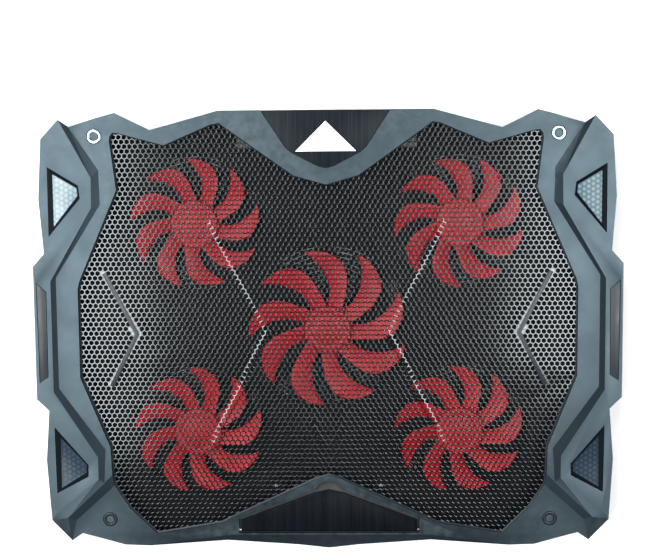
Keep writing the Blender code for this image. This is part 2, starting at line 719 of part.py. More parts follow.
def fan(where, looks):
    """One fan: rotor and shaft turn in a sleeve on the fixed motor."""
    x, y, tip, first = FANS[where]
    rotor(f"fan_rotor_{where}", x, y, tip, first, looks["rotor"])
    shaft = [(SHAFT_RADIUS, SHAFT_UNDER), (SHAFT_RADIUS, SHAFT_TOP)]
    turned(f"fan_shaft_{where}", (x, y), shaft, 12, looks["steel"])
    turned(f"fan_motor_{where}", (x, y), [
        (MOTOR_PLATE_RADIUS, FLOOR_TOP + GAP), (MOTOR_PLATE_RADIUS, MOTOR_PLATE_TOP),
        (MOTOR_RADIUS, MOTOR_PLATE_TOP), (MOTOR_RADIUS, MOTOR_TOP),
        (SLEEVE_RADIUS + GAP, MOTOR_TOP), (SLEEVE_RADIUS + GAP, MOTOR_BORE_FLOOR),
    ], 16, looks["motor"])
    turned(f"fan_sleeve_{where}", (x, y), [
        (SLEEVE_RADIUS, SLEEVE_UNDER), (SLEEVE_RADIUS, SLEEVE_TOP),
        (SHAFT_RADIUS + SHAFT_RADIUS_PLAY, SLEEVE_TOP), (SHAFT_RADIUS + SHAFT_RADIUS_PLAY, SLEEVE_UNDER),
    ], 12, looks["brass"], closed=True)


def window(name, outline, pane, look):
    """A tinted window: a flange under the frame, a sloping dark surround and a sunken pane."""
    body = inset(outline, GAP)
    solid(name, [
        at_height(inset(outline, -FLANGE_WIDTH), LOW - SKIN - GAP - FLANGE_THICK),
        at_height(inset(outline, -FLANGE_WIDTH), LOW - SKIN - GAP),
        at_height(body, LOW - SKIN - GAP),
        at_height(body, LOW - GAP),
        at_height(inset(outline, GAP + SURROUND_EDGE), LOW - GAP),
        at_height(pane, LOW - PANE_SINK),
    ], look)


def stop_flap(looks):
    """The flap that stands up to hold a laptop's front edge, on a pin along its front."""
    axis = (0, FLAP_AXIS_Y, FLAP_AXIS_Z)
    flap = prism("stop_flap", whole_outline(FLAP_HALF_EDGE), FLAP_UNDER, FLAP_TOP, looks["flap"])
    join(flap, rod_along_x("flap_barrel", -FLAP_HALF, FLAP_HALF, FLAP_AXIS_Y, FLAP_AXIS_Z, FLAP_BARREL, 16))
    bore = FLAP_PIN_RADIUS + GAP
    cut(flap, rod_along_x("flap_bore", -EAR_OUTER, EAR_OUTER, FLAP_AXIS_Y, FLAP_AXIS_Z, bore, 12))
    tidy(flap)
    move_origin(flap, axis)
    rod_along_x("stop_hinge_pin", -FLAP_PIN_HALF, FLAP_PIN_HALF, FLAP_AXIS_Y, FLAP_AXIS_Z,
                FLAP_PIN_RADIUS, 12, looks["steel"])


def move_origin(obj, axis):
    """Moves the object's origin to a point in millimetres of the world, and leaves its shape in place."""
    shift = Vector(axis) * MM - obj.location
    obj.data.transform(Matrix.Translation(-shift))
    obj.location = Vector(axis) * MM


def leg(side, looks):
    """A rear leg that folds out of its pocket, with its pin and rubber tip."""
    name = "left" if side < 0 else "right"
    x = side * LEG_X
    axis = (x, LEG_AXIS_Y, LEG_AXIS_Z)
    low, high = LEG_AXIS_Z - LEG_UNDER, LEG_AXIS_Z + LEG_OVER
    plate = block(f"rear_leg_{name}", (x - LEG_HALF, LEG_TIP_Y, low), (x + LEG_HALF, LEG_AXIS_Y, high),
                  looks["leg"])
    join(plate, rod_along_x("leg_barrel", x - LEG_HALF, x + LEG_HALF, LEG_AXIS_Y, LEG_AXIS_Z, LEG_BARREL, 20))
    cut(plate, block("leg_hollow", (x - LEG_HALF + LEG_RIM, LEG_TIP_Y + LEG_RIM, low - 1),
                     (x + LEG_HALF - LEG_RIM, LEG_AXIS_Y - LEG_HOLLOW_END, low + LEG_HOLLOW)))
    cut(plate, rod_along_x("leg_bore", x - POCKET_HALF, x + POCKET_HALF, LEG_AXIS_Y, LEG_AXIS_Z,
                           LEG_PIN_RADIUS + GAP, 12))
    tidy(plate)
    move_origin(plate, axis)
    reach = POCKET_HALF + LEG_PIN_BITE
    rod_along_x(f"rear_leg_pin_{name}", x - reach, x + reach, LEG_AXIS_Y, LEG_AXIS_Z,
                LEG_PIN_RADIUS, 12, looks["steel"])
    block(f"rear_leg_tip_{name}", (x - LEG_PAD_HALF, LEG_TIP_Y - LEG_PAD_LENGTH, low + LEG_PAD_STEP),
          (x + LEG_PAD_HALF, LEG_TIP_Y - GAP, high - LEG_PAD_STEP), looks["rubber"], axis)


def usb_socket(name, x, look):
    """A socket's metal shell, open to the rear."""
    z0, z1 = SOCKET_UNDER, SOCKET_TOP
    body = block(name, (x - SOCKET_HALF, SOCKET_BACK_Y, z0), (x + SOCKET_HALF, SOCKET_MOUTH_Y, z1), look)
    inner = SOCKET_HALF - SOCKET_WALL
    cut(body, block("socket_hollow", (x - inner, SOCKET_BACK_Y + SOCKET_BACK_WALL, z0 + SOCKET_WALL),
                    (x + inner, SOCKET_MOUTH_Y + 2, z1 - SOCKET_WALL)))
    tidy(body)


def rocker(name, x, look):
    """A rocker switch that tips about an upright line, at rest on its off side."""
    axis = (x, ROCKER_AXIS_Y, ROCKER_AXIS_Z)
    left, right = x - ROCKER_HALF, x + ROCKER_HALF
    outline = [(left, ROCKER_FRONT), (right, ROCKER_FRONT), (right, ROCKER_REAR), (x, ROCKER_DIP),
               (left, ROCKER_REAR)]
    obj = solid(name, [at_height(outline, ROCKER_UNDER), at_height(outline, ROCKER_TOP)], look, axis)
    obj.rotation_euler.z = math.radians(SWITCH_LEAN)


def build():
    clear_scene()
    looks = {
        "frame": material("frame_plastic", (0.13, 0.17, 0.19), 0.5),
        "shell": material("tray_plastic", (0.02, 0.021, 0.023), 0.5),
        "mesh": material("painted_mesh_steel", (0.06, 0.065, 0.07), 0.25, 0.9),
        "rotor": material("red_fan_plastic", (0.42, 0.03, 0.045), 0.4),
        "motor": material("black_motor_plastic", (0.02, 0.02, 0.02), 0.5),
        "steel": material("steel", (0.6, 0.6, 0.6), 0.3, 1.0),
        "brass": material("sintered_bronze", (0.55, 0.38, 0.16), 0.4, 1.0),
        "rear_window": material("pale_window", (0.55, 0.68, 0.72), 0.3),
        "front_window": material("dark_window", (0.06, 0.09, 0.12), 0.3),
        "badge": material("brushed_black", (0.025, 0.03, 0.035), 0.35),
        "plate": material("white_badge", (0.85, 0.86, 0.84), 0.25),
        "flap": material("brushed_flap", (0.015, 0.018, 0.022), 0.4),
        "ring": material("ring_steel", (0.4, 0.45, 0.48), 0.25, 1.0),
        "strip": material("strip_plastic", (0.05, 0.06, 0.07), 0.5),
        "leg": material("leg_plastic", (0.02, 0.02, 0.022), 0.5),
        "rubber": material("black_rubber", (0.012, 0.012, 0.012), 0.85),
        "board": material("green_board", (0.02, 0.12, 0.05), 0.5),
        "socket": material("socket_steel", (0.65, 0.65, 0.66), 0.3, 1.0),
        "rocker": material("rocker_plastic", (0.015, 0.015, 0.015), 0.35),
    }
    frame_details(frame_body(looks["frame"]))
    tray_details(tray_body(looks["shell"]))
    mesh_sheet(looks)
    for where in FANS:
        fan(where, looks)
    for side, name in ((-1, "left"), (1, "right")):
        turn = (lambda outline: outline) if side > 0 else mirrored
        window(f"rear_window_{name}", turn(REAR_WINDOW), turn(REAR_PANE), looks["rear_window"])
        window(f"front_window_{name}", turn(FRONT_WINDOW), turn(FRONT_PANE), looks["front_window"])
        prism(f"side_strip_{name}", turn(SIDE_STRIP), LOW - STRIP_SINK, LOW + STRIP_PROUD,
              looks["strip"])
        for end, (x, y, top) in RINGS.items():
            turned(f"corner_ring_{end}_{name}", (side * x, y), [
                (RING_OUTER, top - RING_SINK), (RING_OUTER, top + RING_EDGE_PROUD),
                (RING_OUTER - RING_CHAMFER, top + RING_PROUD),
                (RING_INNER, top + RING_PROUD), (RING_INNER, top - RING_SINK),
            ], 16, looks["ring"], closed=True)
        leg(side, looks)
    badge = whole_outline(BADGE_HALF)
    prism("badge_panel", badge, HIGH - BADGE_SINK - BADGE_THICK, HIGH - BADGE_SINK, looks["badge"])
    prism("badge_plate", BADGE_PLATE, HIGH, HIGH + PLATE_THICK, looks["plate"])
    stop_flap(looks)
    for where, (x, y) in FEET.items():
        turned(f"foot_{where}", (x, y), [
            (FOOT_RADIUS - FOOT_CHAMFER, 0), (FOOT_RADIUS, FOOT_CHAMFER), (FOOT_RADIUS, FOOT_TOP),
        ], 20, looks["rubber"])
    for where, (x, y) in SCREWS.items():
        turned(f"casing_screw_{where}", (x, y), [
            (SCREW_HEAD_RADIUS, SCREW_HEAD_UNDER), (SCREW_HEAD_RADIUS, SCREW_HEAD_TOP),
            (SCREW_RADIUS, SCREW_HEAD_TOP), (SCREW_RADIUS, SCREW_TIP),
        ], 12, looks["steel"])
    block("hub_board", (-BOARD_HALF, BOARD_FRONT, FLOOR_TOP + GAP),
          (BOARD_HALF, BOARD_REAR, FLOOR_TOP + GAP + BOARD_THICK), looks["board"])
    for i, x in enumerate(SOCKET_X):
        usb_socket(f"usb_socket_{('inner', 'outer')[i]}", x, looks["socket"])
    for i, x in enumerate(SWITCH_X):
        rocker(f"fan_switch_{('inner', 'outer')[i]}", x, looks["rocker"])


build()
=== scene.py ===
"""The looks of a laptop cooling pad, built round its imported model."""

import math

import bmesh
import bpy
from mathutils import Matrix, Vector
from mathutils.bvhtree import BVHTree
from mathutils.geometry import delaunay_2d_cdt


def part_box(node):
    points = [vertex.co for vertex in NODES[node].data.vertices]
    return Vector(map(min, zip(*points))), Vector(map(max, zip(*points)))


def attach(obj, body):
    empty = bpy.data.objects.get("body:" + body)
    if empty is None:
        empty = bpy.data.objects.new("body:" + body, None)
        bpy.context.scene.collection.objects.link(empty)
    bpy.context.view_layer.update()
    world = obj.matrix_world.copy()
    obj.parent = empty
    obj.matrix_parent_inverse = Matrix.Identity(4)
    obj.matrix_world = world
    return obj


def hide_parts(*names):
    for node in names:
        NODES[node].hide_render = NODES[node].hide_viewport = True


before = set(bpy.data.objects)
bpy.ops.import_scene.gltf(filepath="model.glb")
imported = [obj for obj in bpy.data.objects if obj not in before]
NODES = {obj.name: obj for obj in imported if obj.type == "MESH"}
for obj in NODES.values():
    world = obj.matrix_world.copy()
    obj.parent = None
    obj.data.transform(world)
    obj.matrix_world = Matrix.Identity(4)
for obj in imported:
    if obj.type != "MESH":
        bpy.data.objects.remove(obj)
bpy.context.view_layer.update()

MM = 0.001
FANS = ("rear_left", "rear_right", "front_left", "front_right", "centre")
SIDES = {"left": -1, "right": 1}

# Perforated sheet: its hexagonal holes and how far the field of them may reach from the centre.
HOLE_PITCH = 3.77 * MM
HOLE_FLATS = 2.95 * MM
FIELD_HALF_WIDTH = 0.19
FIELD_HALF_DEPTH = 0.17
RIVET_CLEAR = 3.4 * MM
SHEET_THICK = 0.8 * MM
# The right side's unpunched band and fold, and the lens down the middle, as points in mm in plan.
BAND = ((155.6, 42.6), (133.4, -0.4), (152.2, -37.6))
BAND_HALF = 2.1 * MM
FOLD = ((80, 77), (41.5, 2), (80.8, -78.6))
LENS = ((0, 87.4), (9, 77), (12.5, 1.5), (9, -69.3), (0, -85.8))
# Beads pressed along the folds and along the lens.
BEAD_HALF = 2.6 * MM
FOLD_BEAD = 0.42 * MM
LENS_BEAD = 0.2 * MM
# Ribs that lie along the bands.
RIB_WIDTH = 3.2 * MM
RIB_HEIGHT = 0.35 * MM
RIB_SINK = 0.3 * MM
RIB_ROUNDING = 0.25 * MM
# The dark lip round the frame's opening, which slopes down to the sheet. Its darkness is painted shade,
# standing for the shadow that the frame's edge casts on the sheet.
LIP_TUCK = 1.2 * MM
LIP_WIDTH = 2.4 * MM
LIP_HEIGHT = 1.9 * MM
LIP_FOOT = 0.15 * MM
LIP_THICK = 0.4 * MM

# Windows: the lenses' spacing, and the height just above the pane at which the surround begins.
WINDOW_PITCH = 3.6 * MM
SURROUND_FROM = (23.42 * MM, 23.5 * MM)

# Right half of the recess that the stop flap lies in, in mm, and its floor.
RECESS = ((63.6, -143.0), (63.6, -132.7), (9.6, -112.1), (7, -108.4), (3.6, -106.6), (0, -106.0))
RECESS_FLOOR = 22.85 * MM
RECESS_SKIN = 0.14 * MM

# Guard bars across the tray's intakes, in mm. They start outside the spokes' hub.
INTAKE_INNER = 19.5
CORNER_INTAKE = 47.0
CENTRE_INTAKE = 57.4
GUARD_PITCH = 3.4
GUARD_BAR = 2.7
GUARD_UNDER = 3.3
GUARD_TOP = 4.7
GUARD_CHAMFER = 0.3
GUARD_CHAMFER_ACROSS = 0.25

# Fan blades. The widths and turns are in degrees, and a blade's parts are shares of its reach.
BLADES = 9
HUB_RADIUS = 16.5 * MM
CORNER_TIP = 45.6 * MM
CENTRE_TIP = 56.0 * MM
BLADE_LEVEL = 13.6 * MM
BLADE_THICK = 1.3 * MM
BLADE_ROUNDING = 0.35 * MM
BLADE_TUCK = 0.6 * MM
BLADE_WIDTH = 23.5
ROOT_FLARE = 16.5
ROOT_SHARE = 0.35
TIP_FLARE = 2.5
TIP_SWEEP = 22.0
TIP_CLIP = 0.17
BLADE_STEPS_OUT = 10
BLADE_STEPS_ACROSS = 5
FIRST_TIP = {"rear_left": 84.5, "rear_right": 100.0, "front_left": 87.0, "front_right": 87.0, "centre": 94.0}


# ---------------------------------------------------------------- materials

class Look:
    """A procedural material under construction, read in the object's own coordinates."""

    def __init__(self, name):
        self.material = bpy.data.materials.new(name)
        self.material.use_nodes = True
        tree = self.material.node_tree
        self.nodes, self.links = tree.nodes, tree.links
        self.shader = self.nodes["Principled BSDF"]
        self.place = self.nodes.new("ShaderNodeTexCoord").outputs["Object"]

    def set(self, **values):
        for name, value in values.items():
            self.shader.inputs[name.replace("_", " ")].default_value = value

    def to(self, socket, source):
        self.links.new(source, self.shader.inputs[socket])

    def stretched(self, scale, turn=0.0):
        mapping = self.nodes.new("ShaderNodeMapping")
        mapping.inputs["Scale"].default_value = scale
        mapping.inputs["Rotation"].default_value = (0, 0, turn)
        self.links.new(self.place, mapping.inputs["Vector"])
        return mapping.outputs["Vector"]

    def clouds(self, scale, detail=3.0, rough=0.55, place=None):
        node = self.nodes.new("ShaderNodeTexNoise")
        node.inputs["Scale"].default_value = scale
        node.inputs["Detail"].default_value = detail
        node.inputs["Roughness"].default_value = rough
        self.links.new(place or self.place, node.inputs["Vector"])
        return node.outputs["Fac"]

    def spots(self, scale, place=None):
        node = self.nodes.new("ShaderNodeTexVoronoi")
        node.inputs["Scale"].default_value = scale
        self.links.new(place or self.place, node.inputs["Vector"])
        return node.outputs["Distance"]

    def between(self, source, low, high, out_low=0.0, out_high=1.0):
        node = self.nodes.new("ShaderNodeMapRange")
        for name, value in (("From Min", low), ("From Max", high), ("To Min", out_low), ("To Max", out_high)):
            node.inputs[name].default_value = value
        self.links.new(source, node.inputs["Value"])
        return node.outputs["Result"]

    def blend(self, share, low, high):
        """A colour between two colours, each a colour or another node's output."""
        node = self.nodes.new("ShaderNodeMix")
        node.data_type = "RGBA"
        self.links.new(share, node.inputs["Factor"])
        for socket, colour in (("A", low), ("B", high)):
            target = [s for s in node.inputs if s.name == socket and s.type == "RGBA"][0]
            if isinstance(colour, tuple):
                target.default_value = (*colour, 1.0)
            else:
                self.links.new(colour, target)
        return [s for s in node.outputs if s.type == "RGBA"][0]

    def maths(self, operation, *values):
        node = self.nodes.new("ShaderNodeMath")
        node.operation = operation
        for socket, value in zip(node.inputs, values):
            if isinstance(value, (int, float)):
                socket.default_value = value
            else:
                self.links.new(value, socket)
        return node.outputs[0]

    def vector(self, operation, first, second=None):
        node = self.nodes.new("ShaderNodeVectorMath")
        node.operation = operation
        for socket, value in zip(node.inputs, (first, second)):
            if value is None:
                continue
            if isinstance(value, tuple):
                socket.default_value = value
            else:
                self.links.new(value, socket)
        return node.outputs["Value" if operation in ("LENGTH", "DOT_PRODUCT") else "Vector"]

    def axis(self, which, source=None):
        node = self.nodes.new("ShaderNodeSeparateXYZ")
        self.links.new(source or self.place, node.inputs["Vector"])
        return node.outputs[which]

    def honeycomb(self, pitch, place):
        """Distance from the middle of a honeycomb cell, which is 0.5 at the line between two cells."""
        root = math.sqrt(3)
        scaled = self.vector("MULTIPLY", place, (1 / pitch, 1 / (pitch * root), 0.0))
        offsets = []
        for shift in (0.5, 0.0):
            cell = self.vector("FRACTION", self.vector("ADD", scaled, (shift, shift, 0.0)))
            centred = self.vector("ADD", cell, (-0.5, -0.5, 0.0))
            offsets.append(self.vector("MULTIPLY", centred, (1.0, root, 0.0)))
        nearer = self.maths("LESS_THAN", self.vector("LENGTH", offsets[0]), self.vector("LENGTH", offsets[1]))
        mix = self.nodes.new("ShaderNodeMix")
        mix.data_type = "VECTOR"
        self.links.new(nearer, mix.inputs["Factor"])
        ends = [s for s in mix.inputs if s.type == "VECTOR" and s.name in ("A", "B")]
        self.links.new(offsets[1], ends[0])
        self.links.new(offsets[0], ends[1])
        chosen = [s for s in mix.outputs if s.type == "VECTOR"][0]
        size = self.vector("ABSOLUTE", chosen)
        x, y = self.axis("X", size), self.axis("Y", size)
        slanted = self.maths("ADD", self.maths("MULTIPLY", x, 0.5), self.maths("MULTIPLY", y, root / 2))
        return self.maths("MAXIMUM", x, slanted)

    def relief(self, *layers):
        """Bumps from (height, distance in mm, strength), the coarsest first."""
        before = None
        for height, distance, strength in layers:
            node = self.nodes.new("ShaderNodeBump")
            node.inputs["Distance"].default_value = distance * MM
            node.inputs["Strength"].default_value = strength
            self.links.new(height, node.inputs["Height"])
            if before:
                self.links.new(before, node.inputs["Normal"])
            before = node.outputs["Normal"]
        self.links.new(before, self.shader.inputs["Normal"])


def moulded_plastic(name, dark, light, rough, grain=1900.0, depth=0.03, specular=0.3):
    """Moulded plastic: a spark-eroded grain, slightly uneven colour and handled, shinier patches."""
    look = Look(name)
    clouds = look.between(look.clouds(24.0, 4.0), 0.3, 0.7)
    fine = look.clouds(grain, 2.0)
    colour = look.blend(clouds, dark, light)
    specks = look.between(fine, 0.35, 0.7, 0.0, 0.35)
    look.to("Base Color", look.blend(specks, colour, tuple(min(1.0, c * 1.35) for c in light)))
    rub = look.clouds(60.0, 3.0)
    look.to("Roughness", look.between(rub, 0.3, 0.7, rough - 0.07, rough + 0.08))
    look.set(Specular_IOR_Level=specular)
    look.relief((look.clouds(grain * 0.3, 2.0), depth * 2, 0.25), (fine, depth, 0.5))
    return look.material


def frame_plastic():
    """Satin blue-grey plastic, rubbed paler at its sharp creases, with painted sheen and shade: duller at the
    middle of the front than at the sides and rear.
    """
    look = Look("blue_grey_plastic")
    clouds = look.between(look.clouds(17.0, 4.0), 0.32, 0.68)
    colour = look.blend(clouds, (0.006, 0.0095, 0.0125), (0.009, 0.013, 0.0165))
    fine = look.clouds(1500.0, 2.0)
    colour = look.blend(look.between(fine, 0.4, 0.75, 0.0, 0.4), colour, (0.015, 0.021, 0.026))
    edge = look.nodes.new("ShaderNodeNewGeometry").outputs["Pointiness"]
    patches = look.clouds(160.0)
    worn = look.maths("MULTIPLY", look.between(edge, 0.505, 0.56), look.between(patches, 0.35, 0.65))
    look.to("Base Color", look.blend(look.maths("MULTIPLY", worn, 0.35), colour, (0.06, 0.075, 0.085)))
    look.to("Roughness", look.between(look.clouds(45.0, 4.0), 0.3, 0.7, 0.34, 0.41))
    # Painted sheen and shade: the shine rises toward the sides and the rear and is least at the middle of the
    # front, following how the light falls on the frame.
    across = look.axis("X")
    side = look.between(look.maths("MULTIPLY", across, across), 0.012, 0.024)
    behind = look.between(look.axis("Y"), -0.12, -0.09)
    look.to("Specular IOR Level", look.between(look.maths("MAXIMUM", side, behind), 0.0, 1.0, 0.08, 0.42))
    look.set(Specular_Tint=(0.62, 0.87, 1.0, 1.0))
    look.relief((look.clouds(420.0, 2.0), 0.04, 0.2), (fine, 0.02, 0.4))
    return look.material


def mesh_steel():
    """Gloss black paint on punched steel, rounded over at the edge of every hole."""
    look = Look("gloss_black_punched_steel")
    clouds = look.clouds(70.0, 4.0)
    share = look.between(clouds, 0.35, 0.65)
    look.to("Base Color", look.blend(share, (0.0015, 0.002, 0.003), (0.003, 0.0035, 0.0045)))
    look.to("Roughness", look.between(look.clouds(260.0, 3.0), 0.3, 0.7, 0.09, 0.13))
    look.set(Specular_IOR_Level=0.52, Specular_Tint=(0.88, 0.96, 1.0, 1.0))
    cell = look.honeycomb(HOLE_PITCH, look.place)
    rolled = look.between(cell, 0.39, 0.45)
    crown = look.maths("SINE", look.maths("MULTIPLY", rolled, math.pi / 2))
    look.relief((look.clouds(220.0, 2.0), 0.02, 0.4), (crown, 0.05, 1.0))
    return look.material


def fan_plastic():
    """Red plastic, slightly translucent, with a faint flow pattern."""
    look = Look("red_fan_plastic")
    clouds = look.between(look.clouds(55.0, 4.0), 0.3, 0.7)
    look.to("Base Color", look.blend(clouds, (0.31, 0.007, 0.012), (0.4, 0.011, 0.018)))
    look.to("Roughness", look.between(look.clouds(220.0), 0.3, 0.7, 0.36, 0.5))
    look.set(Specular_IOR_Level=0.22, Subsurface_Weight=0.12, Subsurface_Scale=0.5,
             Subsurface_Radius=(0.004, 0.001, 0.001))
    look.relief((look.clouds(900.0, 2.0), 0.03, 0.4))
    return look.material


def window_plastic(name, dark, light, line, bright):
    """Plastic over a honeycomb of small lenses, in a black surround. It is paler on the left of the pad,
    which is painted light, and less shiny toward the front and the right, which is painted shade.
    """
    look = Look(name)
    cell = look.honeycomb(WINDOW_PITCH, look.stretched((1, 1, 1), math.pi / 2))
    core = look.between(cell, 0.12, 0.46, 1.0, 0.0)
    # Painted light: the colour is paler on the left of the pad and darker on the right, on top of a random
    # unevenness.
    tone_and_painted_light = look.maths("MULTIPLY", look.between(look.clouds(70.0, 2.0), 0.3, 0.7, 0.4, 1.0),
                      look.between(look.axis("X"), -0.1, 0.1, 1.0, 0.12))
    colour = look.blend(tone_and_painted_light, dark, light)
    colour = look.blend(look.maths("MULTIPLY", core, 0.55), colour, bright)
    edge = look.between(cell, 0.44, 0.49)
    colour = look.blend(look.maths("MULTIPLY", edge, 0.6), colour, line)
    rim = look.between(look.axis("Z"), *SURROUND_FROM)
    look.to("Base Color", look.blend(rim, colour, (0.004, 0.006, 0.008)))
    look.to("Roughness", look.maths("ADD", look.between(look.clouds(180.0), 0.3, 0.7, 0.16, 0.3),
                                    look.maths("MULTIPLY", rim, 0.3)))
    # Painted shade: the shine is turned down toward the front and toward the right of the pad.
    rear = look.between(look.axis("Y"), -0.01, 0.01, 0.25, 1.0)
    left = look.between(look.axis("X"), -0.01, 0.01, 1.0, 0.3)
    look.to("Specular IOR Level", look.maths("MULTIPLY", look.between(rim, 0.0, 1.0, 0.28, 0.05),
                                             look.maths("MULTIPLY", rear, left)))
    look.relief((core, 0.06, 0.5), (look.clouds(900.0), 0.02, 0.3))
    return look.material


def brushed(name, dark, light, rough, along=(1400.0, 18.0, 18.0), metallic=0.0, shine=0.5):
    """A finely brushed surface, with its lines along the short direction of the stretch."""
    look = Look(name)
    lines = look.clouds(1.0, 4.0, 0.6, look.stretched(along))
    broad = look.clouds(1.0, 3.0, 0.5, look.stretched(tuple(v * 0.22 for v in along)))
    look.to("Base Color", look.blend(look.between(lines, 0.32, 0.7), dark, light))
    look.to("Roughness", look.between(broad, 0.3, 0.7, rough - 0.05, rough + 0.06))
    look.set(Metallic=metallic, Specular_IOR_Level=shine)
    look.relief((broad, 0.005, 0.2), (lines, 0.004, 0.5))
    return look.material


def polished_metal(name, dark, light, rough):
    """Bare metal with slightly uneven colour and a fine grain."""
    look = Look(name)
    look.to("Base Color", look.blend(look.between(look.clouds(400.0), 0.3, 0.7), dark, light))
    look.to("Roughness", look.between(look.clouds(900.0, 3.0), 0.3, 0.7, rough - 0.05, rough + 0.1))
    look.set(Metallic=1.0)
    look.relief((look.clouds(1800.0, 2.0), 0.02, 0.4))
    return look.material


def ring_look():
    """Satin silver on the two rings at the rear, and smooth black on the two at the front; the front pair's
    black and weak shine are painted shade, standing for the shade that they lie in.
    """
    look = Look("ring_silver_and_painted_shade_black")
    # Painted shade: the front rings get black and a weak shine, the rear ones silver metal.
    rear = look.between(look.axis("Y"), -0.01, 0.01)
    silver = look.blend(look.between(look.clouds(400.0), 0.3, 0.7), (0.2, 0.3, 0.34), (0.32, 0.42, 0.46))
    look.to("Base Color", look.blend(rear, (0.008, 0.012, 0.016), silver))
    look.to("Metallic", rear)
    look.to("Roughness", look.between(look.clouds(700.0, 3.0), 0.3, 0.7, 0.26, 0.36))
    look.to("Specular IOR Level", look.between(rear, 0.0, 1.0, 0.15, 0.5))
    look.relief((look.clouds(900.0, 2.0), 0.01, 0.3))
    return look.material


def rubber():
    """Matte black rubber with a fine grain."""
    look = Look("matte_black_rubber")
    fine = look.clouds(2600.0, 2.0)
    share = look.between(fine, 0.3, 0.7)
    look.to("Base Color", look.blend(share, (0.009, 0.009, 0.009), (0.02, 0.02, 0.021)))
    look.to("Roughness", look.between(look.clouds(90.0), 0.3, 0.7, 0.74, 0.92))
    look.relief((fine, 0.06, 0.6))
    return look.material


def white_plate():
    """White enamel under a thin clear coat, with a brushed base that just shows."""
    look = Look("white_enamel_plate")
    lines = look.clouds(1.0, 4.0, 0.6, look.stretched((900.0, 26.0, 26.0)))
    look.to("Base Color", look.blend(look.between(lines, 0.35, 0.65), (0.78, 0.79, 0.77), (0.9, 0.9, 0.88)))
    look.to("Roughness", look.between(look.clouds(300.0), 0.3, 0.7, 0.24, 0.36))
    look.set(Coat_Weight=0.4, Coat_Roughness=0.08)
    look.relief((lines, 0.02, 0.3))
    return look.material


def circuit_board():
    """Green solder mask, with paler copper tracks under it in a fine irregular grid."""
    look = Look("green_circuit_board")
    tracks = look.between(look.spots(420.0), 0.02, 0.09, 1.0, 0.0)
    base = look.blend(look.between(look.clouds(80.0), 0.3, 0.7), (0.004, 0.012, 0.007), (0.007, 0.018, 0.01))
    look.to("Base Color", look.blend(look.maths("MULTIPLY", tracks, 0.5), base, (0.012, 0.035, 0.018)))
    look.to("Roughness", look.between(look.clouds(300.0), 0.3, 0.7, 0.3, 0.45))
    look.relief((tracks, 0.05, 0.5))
    return look.material


def floor_look():
    """Pale, faintly uneven matte studio floor."""
    look = Look("pale_floor")
    share = look.between(look.clouds(2.5, 3.0), 0.3, 0.7)
    look.to("Base Color", look.blend(share, (0.86, 0.86, 0.86), (0.9, 0.9, 0.9)))
    look.to("Roughness", look.between(look.clouds(12.0), 0.3, 0.7, 0.6, 0.75))
    look.relief((look.clouds(320.0), 0.05, 0.2))
    return look.material


LOOKS = {
    "frame": frame_plastic(),
    "tray": moulded_plastic("grained_dark_plastic", (0.0015, 0.0018, 0.002), (0.0035, 0.004, 0.0045), 0.62,
                            specular=0.1),
    "mesh": mesh_steel(),
    "rotor": fan_plastic(),
    "steel": polished_metal("turned_steel", (0.2, 0.2, 0.205), (0.32, 0.32, 0.325), 0.34),
    "motor": moulded_plastic("black_motor_housing", (0.016, 0.016, 0.017), (0.026, 0.026, 0.027), 0.45),
    "bronze": polished_metal("oiled_bronze", (0.38, 0.24, 0.09), (0.55, 0.38, 0.16), 0.35),
    "rear_window": window_plastic("pale_honeycomb", (0.03, 0.06, 0.08), (0.12, 0.18, 0.2),
                                  (0.05, 0.09, 0.11), (0.2, 0.28, 0.3)),
    "front_window": window_plastic("dark_honeycomb", (0.01, 0.018, 0.028), (0.016, 0.027, 0.04),
                                   (0.004, 0.007, 0.011), (0.03, 0.045, 0.065)),
    "strip": moulded_plastic("dark_strip_plastic", (0.008, 0.012, 0.015), (0.012, 0.017, 0.021), 0.4),
    "ring": ring_look(),
    "leg": moulded_plastic("black_leg_plastic", (0.014, 0.014, 0.015), (0.024, 0.024, 0.025), 0.48),
    "rubber": rubber(),
    "badge": brushed("brushed_dark_panel", (0.004, 0.006, 0.008), (0.012, 0.016, 0.02), 0.3, shine=0.03),
    "plate": white_plate(),
    "flap": brushed("brushed_black_flap", (0.001, 0.0015, 0.0025), (0.003, 0.0045, 0.007), 0.28, shine=0.06),
    "board": circuit_board(),
    "socket": brushed("plated_steel_shell", (0.45, 0.45, 0.46), (0.62, 0.62, 0.62), 0.26, metallic=1.0),
    "rocker": moulded_plastic("satin_black_rocker", (0.012, 0.012, 0.013), (0.02, 0.02, 0.021), 0.35,
                              depth=0.02),
}


# ---------------------------------------------------------------- mesh work

def piece(name, bm, look, body="pad", stands_for=None, smooth=30.0):
    """Makes a finished object from a mesh that is already in its place."""
    mesh = bpy.data.meshes.new(name)
    bm.to_mesh(mesh)
    bm.free()
    mesh.materials.append(LOOKS[look])
    mesh.set_sharp_from_angle(angle=math.radians(smooth))
    obj = bpy.data.objects.new(name, mesh)
    bpy.context.scene.collection.objects.link(obj)
    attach(obj, body)
    if stands_for:
        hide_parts(stands_for)
    return obj


def cad_copy(node, flatness=0.2):
    """A merged copy of a CAD node's mesh, with its flat neighbouring faces joined."""
    bm = bmesh.new()
    bm.from_mesh(NODES[node].data)
    bmesh.ops.remove_doubles(bm, verts=bm.verts, dist=2e-6)
    bmesh.ops.dissolve_limit(bm, angle_limit=math.radians(flatness), verts=bm.verts, edges=bm.edges)
    return bm


